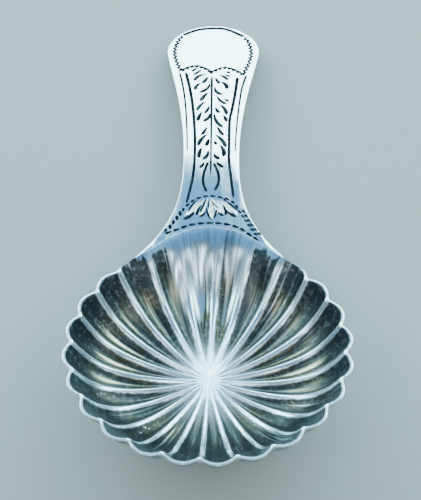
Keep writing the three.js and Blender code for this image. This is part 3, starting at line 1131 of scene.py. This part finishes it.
def ramp(tree, value, start, end, low=0.0, high=1.0):
    """A soft step from low to high, while the value goes from start to end."""
    made = node(tree, "MapRange", interpolation_type="SMOOTHSTEP")
    feed(tree, made.inputs["Value"], value)
    for name, number in (("From Min", start), ("From Max", end), ("To Min", low), ("To Max", high)):
        made.inputs[name].default_value = number
    return made.outputs["Result"]


# %% [markdown]
# Masks are multiplied where both must hold, and colours are blended by a mask.

# %% Helpers that combine values, colours and relief
def combine(tree, operation, *values):
    """The values one after the other: MULTIPLY, ADD or MAXIMUM."""
    total = values[0]
    for value in values[1:]:
        made = node(tree, "Math", operation=operation)
        feed(tree, made.inputs[0], total)
        feed(tree, made.inputs[1], value)
        total = made.outputs["Value"]
    return total


def around_zero(tree, value, strength):
    """Noise that wanders round 0 and not round a half."""
    return combine(tree, "MULTIPLY", combine(tree, "ADD", value, -0.5), strength)


def blend(tree, share, first, second):
    """The first colour where the share is 0, and the second where it is 1."""
    made = node(tree, "Mix", data_type="RGBA")
    feed(tree, made.inputs["Factor"], share)
    feed(tree, made.inputs["A"], first)
    feed(tree, made.inputs["B"], second)
    return made.outputs["Result"]


def relief(tree, shader, height, strength, distance):
    """Fine relief on top of what the shader has already."""
    made = node(tree, "Bump")
    made.inputs["Strength"].default_value = strength
    made.inputs["Distance"].default_value = distance
    feed(tree, made.inputs["Height"], height)
    before = shader.inputs["Normal"].links
    if before:
        feed(tree, made.inputs["Normal"], before[0].from_socket)
    feed(tree, shader.inputs["Normal"], made.outputs["Normal"])


# %% [markdown]
# ## The face of the handle
# The handle is the part that thumbs polish, so it is nearly a mirror, a little cloudy, with two sets of
# long fine scratches from the cloth. The scratches raise the roughness and catch the light as relief.
# A scale is the number of waves in a metre, so 500 gives spots about 2 mm wide.

# %% Polished and scratched silver
POLISH_BRIGHT = (0.93, 0.95, 0.96)
POLISH_CLOUDED = (0.84, 0.87, 0.89)
CLOUD_SCALE = 180
SCRATCH_DULLNESS = 0.08

tree, shader = silver(face_silver)
clouds = noise(tree, CLOUD_SCALE)
lengthwise = ramp(tree, brushed(tree, scale=420, turn=8, stretch=0.03), 0.56, 0.66)
crosswise = ramp(tree, brushed(tree, scale=520, turn=-35, stretch=0.04), 0.6, 0.7)
scratches = combine(tree, "MAXIMUM", lengthwise, crosswise)
polish = blend(tree, ramp(tree, clouds, 0.4, 0.7), POLISH_BRIGHT, POLISH_CLOUDED)
dullness = combine(tree, "MULTIPLY", scratches, SCRATCH_DULLNESS)
dullness = combine(tree, "ADD", ramp(tree, clouds, 0.35, 0.7, low=0.06, high=0.1), dullness)
coat(tree, shader, polish, dullness)
relief(tree, shader, scratches, strength=0.06, distance=0.04 * MM)
print("Face of the handle:", len(tree.nodes), "nodes")

# %% [markdown]
# ## The cuts
# Dirt and tarnish sit in the narrow cuts and make them read as drawn lines. The broad leaves of the fan
# are cut shallow with a polished graver, so they stay bright, and their facets scatter the light.

# %% Dark cuts and bright leaves
GRIME_DARK = (0.012, 0.02, 0.03)
GRIME_PALE = (0.04, 0.05, 0.055)
LEAF_BRIGHT = (0.97, 0.96, 0.92)
LEAF_SHADED = (0.75, 0.76, 0.7)


def spotted(tree, scale, first, second):
    """Two colours in spots."""
    return blend(tree, ramp(tree, noise(tree, scale), 0.4, 0.65), first, second)


def uneven(tree, scale, low, high):
    """A roughness that wanders from low to high."""
    return ramp(tree, noise(tree, scale), 0.3, 0.7, low, high)


tree, shader = silver(cut_silver)
grime = spotted(tree, scale=900, first=GRIME_DARK, second=GRIME_PALE)
coat(tree, shader, grime, uneven(tree, scale=700, low=0.34, high=0.46))

tree, shader = silver(leaf_silver)
leaf = spotted(tree, scale=1500, first=LEAF_BRIGHT, second=LEAF_SHADED)
coat(tree, shader, leaf, uneven(tree, scale=1100, low=0.34, high=0.42))
relief(tree, shader, brushed(tree, scale=1600, turn=0, stretch=0.1), strength=0.2, distance=0.03 * MM)
print("Handle materials:", [slot.name for slot in handle.material_slots])

# %% [markdown]
# ## Tarnish in the flutes
# A cloth slides over the crests and keeps them bright, but it can't get into the channels. So the
# distance from the crest decides first, with a ragged edge from noise. All of this is one mask from 0,
# bright, to 1, dark, and the material reads it from the attributes of the mesh.

# %% Tarnish between the crests
GAP_START = 0.28  # mm from the crest
GAP_END = 0.56
# Painted shade at the front of the bowl:
NARROWER_FRONT = 0.14  # mm that the bright crests are narrower at the front
RAGGED_SCALE = 1700
RAGGED_GAP = 0.35  # mm that the edge of the tarnish wanders

fluted_silver = bpy.data.materials.new("fluted_silver")
tree, shader = silver(fluted_silver)
along_flutes = node(tree, "Attribute", attribute_name="grain").outputs["Vector"]
gap = attribute(tree, "crest_gap")
reach = attribute(tree, "reach")
inside = attribute(tree, "inside")
front = attribute(tree, "front")
ragged = noise(tree, RAGGED_SCALE, detail=5)
# Painted shade: at the front the dark channels reach nearer the crests, so the bright crests there look
# narrower.
front_crest_shade = combine(tree, "MULTIPLY", front, NARROWER_FRONT)
channel = combine(tree, "ADD", gap, around_zero(tree, ragged, RAGGED_GAP), front_crest_shade)
channel = ramp(tree, channel, GAP_START, GAP_END)
print("Channels and crests:", len(tree.nodes), "nodes")

# %% [markdown]
# The smooth lip under the handle is wiped too, in streaks that run along the flutes, and the filed rim
# stays bright.

# %% Streaks, stains and the bright rim
STREAK_SCALE = 1.4  # along the grain of the bowl, whose lengths aren't metres
STREAK_STRENGTH = 1.8
STAIN_SCALE = 0.6
STAIN_STRENGTH = 0.6
RAGGED_RIM = 0.4  # how much the rim's edge wanders, as a share of the way between the skins

streaks = noise(tree, STREAK_SCALE, detail=6, vector=along_flutes)
stains = ramp(tree, noise(tree, STAIN_SCALE, vector=along_flutes), 0.48, 0.6)
kept = combine(
    tree,
    "ADD",
    attribute(tree, "shelter"),
    around_zero(tree, streaks, STREAK_STRENGTH),
    combine(tree, "MULTIPLY", stains, STAIN_STRENGTH),
)
rim_edge = combine(tree, "ADD", inside, around_zero(tree, ragged, RAGGED_RIM))
off_rim = ramp(tree, reach, 0.985, 0.996, low=1.0, high=0.0)
off_rim = combine(tree, "MAXIMUM", off_rim, ramp(tree, rim_edge, 0.4, 0.6))
channel = combine(tree, "MULTIPLY", channel, ramp(tree, kept, 0.2, 0.9), off_rim)
print("Mask of the tarnish:", len(tree.nodes), "nodes")

# %% [markdown]
# ## The colours of tarnish
# Tarnish is a thin film, and its colour follows its thickness: straw, brown, then grey blue. In the
# channels it has olive and brown patches. On top of that, painted shade makes them darkest opposite the
# handle and dark near the rim, and a painted reflection makes them paler and lavender near the middle,
# where the flutes are shallow. Reach is the share of the rim's radius, from 0 in the middle to 1 at the
# rim, and front goes from 0 at the sides of the bowl to 1 opposite the handle.

# %% Colours of the bowl
PATCH_OLIVE = (0.05, 0.06, 0.055)
PATCH_BROWN = (0.078, 0.064, 0.04)
STREAK_GREY = (0.12, 0.13, 0.125)
# Painted shade for the channels at the front of the bowl:
FRONT_PAINTED_SHADE = (0.014, 0.017, 0.018)
# Painted shade for the channels near the rim:
RIM_PAINTED_SHADE = (0.04, 0.05, 0.056)
# Painted reflection, paler lavender in the middle of the bowl:
MIDDLE_PAINTED_REFLECTION = (0.4, 0.41, 0.46)
MOTTLE_GREY = (0.17, 0.175, 0.16)
SPECK_GREY = (0.5, 0.52, 0.52)
# A painted highlight for the floors of the channels:
GLEAM = (0.75, 0.66, 0.45)
CREST_BRIGHT = (0.85, 0.97, 1.0)
CREST_BLUE = (0.76, 0.86, 0.93)
# A painted reflection of the blue sky, for the lip:
LIP_PAINTED_SKY = (0.33, 0.5, 0.66)
PATCH_SCALE = 260

patches = noise(tree, PATCH_SCALE, detail=5)
tarnish = blend(tree, ramp(tree, patches, 0.42, 0.62), PATCH_OLIVE, PATCH_BROWN)
tarnish = blend(tree, ramp(tree, streaks, 0.48, 0.7), tarnish, STREAK_GREY)
# Painted shade: the channels are painted darker towards the front, opposite the handle, and further out.
front_shade_mask = combine(tree, "MULTIPLY", front, ramp(tree, reach, 0.3, 0.8))
tarnish = blend(tree, front_shade_mask, tarnish, FRONT_PAINTED_SHADE)
# Painted shade: near the rim the channels are painted darker, at the back and sides more than at the
# front.
behind_front = ramp(tree, front, 0.0, 0.5, low=1.0, high=0.2)
rim_shade_mask = combine(tree, "MULTIPLY", ramp(tree, reach, 0.76, 0.99), behind_front)
tarnish = blend(tree, rim_shade_mask, tarnish, RIM_PAINTED_SHADE)
# Painted reflection: towards the middle the channels are painted paler lavender.
middle_reflection_mask = ramp(tree, reach, 0.1, 0.45, low=0.75, high=0.0)
tarnish = blend(tree, middle_reflection_mask, tarnish, MIDDLE_PAINTED_REFLECTION)
print("Plain tarnish:", len(tree.nodes), "nodes")

# %% [markdown]
# Paler mottles and small specks of bright metal break the patches up. Here and there the floor of a
# channel gets a warm gleam, a painted highlight of the light that its curved floor mirrors.

# %% Mottles, specks and gleams
MOTTLE_SCALE = 1500
SPECK_SCALE = 3000
GLEAM_SCALE = 0.9  # along the grain of the bowl

mottles = ramp(tree, noise(tree, MOTTLE_SCALE, detail=5), 0.48, 0.66, high=0.6)
mottles = combine(tree, "MULTIPLY", mottles, ramp(tree, front, 0.0, 1.0, low=1.0, high=0.15))
tarnish = blend(tree, mottles, tarnish, MOTTLE_GREY)
specks = ramp(tree, noise(tree, SPECK_SCALE, detail=2), 0.62, 0.7, high=0.55)
specks = combine(tree, "MULTIPLY", specks, ramp(tree, patches, 0.5, 0.62))
tarnish = blend(tree, specks, tarnish, SPECK_GREY)
# Painted highlight: warm gleams on the floors of the channels, halfway out and away from the front.
wear_and_painted_gleam = combine(
    tree,
    "MULTIPLY",
    ramp(tree, gap, 1.0, 1.6),
    ramp(tree, reach, 0.46, 0.6),
    ramp(tree, reach, 0.74, 0.88, low=1.0, high=0.0),
    ramp(tree, noise(tree, GLEAM_SCALE, detail=6, vector=along_flutes), 0.42, 0.6),
    ramp(tree, front, 0.0, 0.2, low=1.0, high=0.0),
)
tarnish = blend(tree, wear_and_painted_gleam, tarnish, GLEAM)
print("Tarnish with its spots:", len(tree.nodes), "nodes")

# %% [markdown]
# The crests are bright, with a little blue in streaks, and the upper part of the lip, where it is wiped
# clean, is painted a cool blue, a painted reflection of the sky above it.

# %% Bright crests and the painted sky on the lip
OUTSIDE_SHARE = 0.6  # the outside rubs on the table and the cloth, and is less dark

crest = blend(tree, ramp(tree, streaks, 0.4, 0.75), CREST_BRIGHT, CREST_BLUE)
# Painted reflection: the wiped upper lip is painted with the blue of the sky above it.
lip_sky_mask = combine(
    tree,
    "MULTIPLY",
    ramp(tree, reach, 0.84, 0.95),
    ramp(tree, attribute(tree, "shelter"), 0.0, 0.6, low=1.0, high=0.0),
    ramp(tree, streaks, 0.35, 0.6, low=0.5),
)
crest = blend(tree, lip_sky_mask, crest, LIP_PAINTED_SKY)
darkness = combine(tree, "MULTIPLY", channel, combine(tree, "MAXIMUM", inside, OUTSIDE_SHARE))
bowl_colour = blend(tree, darkness, crest, tarnish)
print("Colour of the bowl:", len(tree.nodes), "nodes")

# %% [markdown]
# Tarnished metal is duller than polished metal. The relief is slight, because the shapes themselves are
# in the mesh.

# %% Roughness and relief of the bowl
PITTING_SCALE = 2600

dullness = ramp(tree, channel, 0, 1, low=0.24, high=0.36)
dullness = combine(tree, "ADD", dullness, ramp(tree, streaks, 0.4, 0.7, high=0.1))
coat(tree, shader, bowl_colour, dullness)
relief(tree, shader, streaks, strength=0.25, distance=0.2 * MM)
relief(tree, shader, noise(tree, PITTING_SCALE, detail=3), strength=0.05, distance=0.1 * MM)
bowl.data.materials.append(fluted_silver)
print("Bowl material:", len(tree.nodes), "nodes")

# %% [markdown]
# ## The solder
# Hard solder is a silver alloy with more copper and zinc, a little greyer and warmer than the spoon. It
# is filed flush, so only a hair line of it shows. The CAD solid has the right shape and stays as it is.

# %% Filed solder on the CAD solid
ALLOY_BRIGHT = (0.9, 0.9, 0.86)
ALLOY_SHADED = (0.7, 0.71, 0.68)
ALLOY_SCALE = 500
FILED_SCALE = 1500

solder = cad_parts["solder_seam"]
solder_silver = bpy.data.materials.new("solder_silver")
tree, shader = silver(solder_silver)
alloy = ramp(tree, noise(tree, ALLOY_SCALE), 0.4, 0.6)
alloy = blend(tree, alloy, ALLOY_BRIGHT, ALLOY_SHADED)
coat(tree, shader, alloy, uneven(tree, scale=900, low=0.24, high=0.32))
relief(tree, shader, noise(tree, FILED_SCALE), strength=0.15, distance=0.1 * MM)
solder.data.materials.clear()
solder.data.materials.append(solder_silver)
print("Solder keeps the CAD shape with", len(solder.data.polygons), "faces")

# %% [markdown]
# ## The table and the air
# The spoon lies on a plain pale table. The world gives a little cool light from everywhere, so that no
# reflection is black.

# %% Table and world
TABLE_SIZE = 2  # metres
TABLE_COLOUR = (0.47, 0.45, 0.42, 1)
TABLE_ROUGHNESS = 0.75
AIR_COLOUR = (0.26, 0.4, 0.5, 1)
AIR_STRENGTH = 0.52

bpy.ops.mesh.primitive_plane_add(size=TABLE_SIZE, location=(0, 0, 0))
table = bpy.context.object
table.name = "table_top"
table_paint = bpy.data.materials.new("pale_table")
table_paint.use_nodes = True
paint = table_paint.node_tree.nodes["Principled BSDF"]
paint.inputs["Base Color"].default_value = TABLE_COLOUR
paint.inputs["Roughness"].default_value = TABLE_ROUGHNESS
table.data.materials.append(table_paint)

world = bpy.data.worlds.new("studio_air")
bpy.context.scene.world = world
world.use_nodes = True
air = world.node_tree.nodes["Background"]
air.inputs["Color"].default_value = AIR_COLOUR
air.inputs["Strength"].default_value = AIR_STRENGTH
print("Table", table.name, "and air", world.name)

# %% [markdown]
# ## The lights
# Polished silver shows its surroundings more than itself. The flat end of the handle mirrors a broad
# white light low behind the tip, and the neck, which lies more level, mirrors the blue above that light.
# So each light is placed by the directions that it fills, as seen from the spoon. Its power comes from
# the brightness that it should show in a mirror and from its area.

# %% A rectangular light
LAMP_DISTANCE = 1.2  # metres


def softbox(name, azimuth, elevation, wide, high, radiance, colour, roll):
    """Angles in degrees. Azimuth 0 is behind the tip of the handle, and 90 is to its right."""
    bpy.ops.object.light_add(type="AREA")
    lamp = bpy.context.object
    lamp.name = name
    lamp.data.shape = "RECTANGLE"
    lamp.data.size = 2 * LAMP_DISTANCE * math.tan(math.radians(wide / 2))
    lamp.data.size_y = 2 * LAMP_DISTANCE * math.tan(math.radians(high / 2))
    lamp.data.energy = radiance * 4 * math.pi * lamp.data.size * lamp.data.size_y
    lamp.data.color = colour
    around, up = math.radians(azimuth), math.radians(elevation)
    away = Vector((math.sin(around) * math.cos(up), math.cos(around) * math.cos(up), math.sin(up)))
    lamp.location = away * LAMP_DISTANCE
    facing = away.to_track_quat("Z", "Y").to_matrix().to_4x4()
    lamp.rotation_euler = (facing @ Matrix.Rotation(math.radians(roll), 4, "Z")).to_euler()
    print(name, "gives", round(lamp.data.energy, 2), "W")


# %% [markdown]
# Three broad white lights stand side by side behind the tip, and two dim blue ones above them. Opposite
# are a narrow light and a wide dim one below it, with one more at either side.

# %% Lights round the spoon
DAYLIGHT = (0.56, 0.93, 1.0)
HIGH_SKY = (0.08, 0.46, 1.0)
ROOM_LIGHT = (0.8, 0.95, 1.0)
LAMPS = [  # name, azimuth, elevation, width, height, brightness in a mirror, colour, roll
    ("window_middle", 0, 30.5, 56, 22.6, 2.3, DAYLIGHT, -8),
    ("window_left", -58, 29.4, 50, 22, 2.2, DAYLIGHT, 0),
    ("window_right", 58, 29.4, 50, 22, 2.2, DAYLIGHT, 0),
    ("sky", 0, 54, 80, 24, 0.21, HIGH_SKY, 0),
    ("zenith", 0, 84, 80, 34, 0.14, HIGH_SKY, 0),
    ("overhead", 180, 48, 12, 32, 1.6, ROOM_LIGHT, 0),
    ("room", 180, 26, 120, 34, 0.12, ROOM_LIGHT, 0),
    ("side_left", -122, 43, 22, 16, 0.8, ROOM_LIGHT, 0),
    ("side_right", 122, 43, 22, 16, 0.8, ROOM_LIGHT, 0),
]
for lamp in LAMPS:
    softbox(*lamp)

# %% [markdown]
# ## Handing the pieces over
# The bowl and the handle stand for the CAD nodes of the same places, and both ride on the one body of
# the spoon, because nothing on it moves.

# %% Riding and replacing
for piece, cad_node, finish in ((bowl, "bowl", "bowl_silver"), (handle, "handle", "handle_silver")):
    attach(piece, "root")
    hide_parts(cad_node)
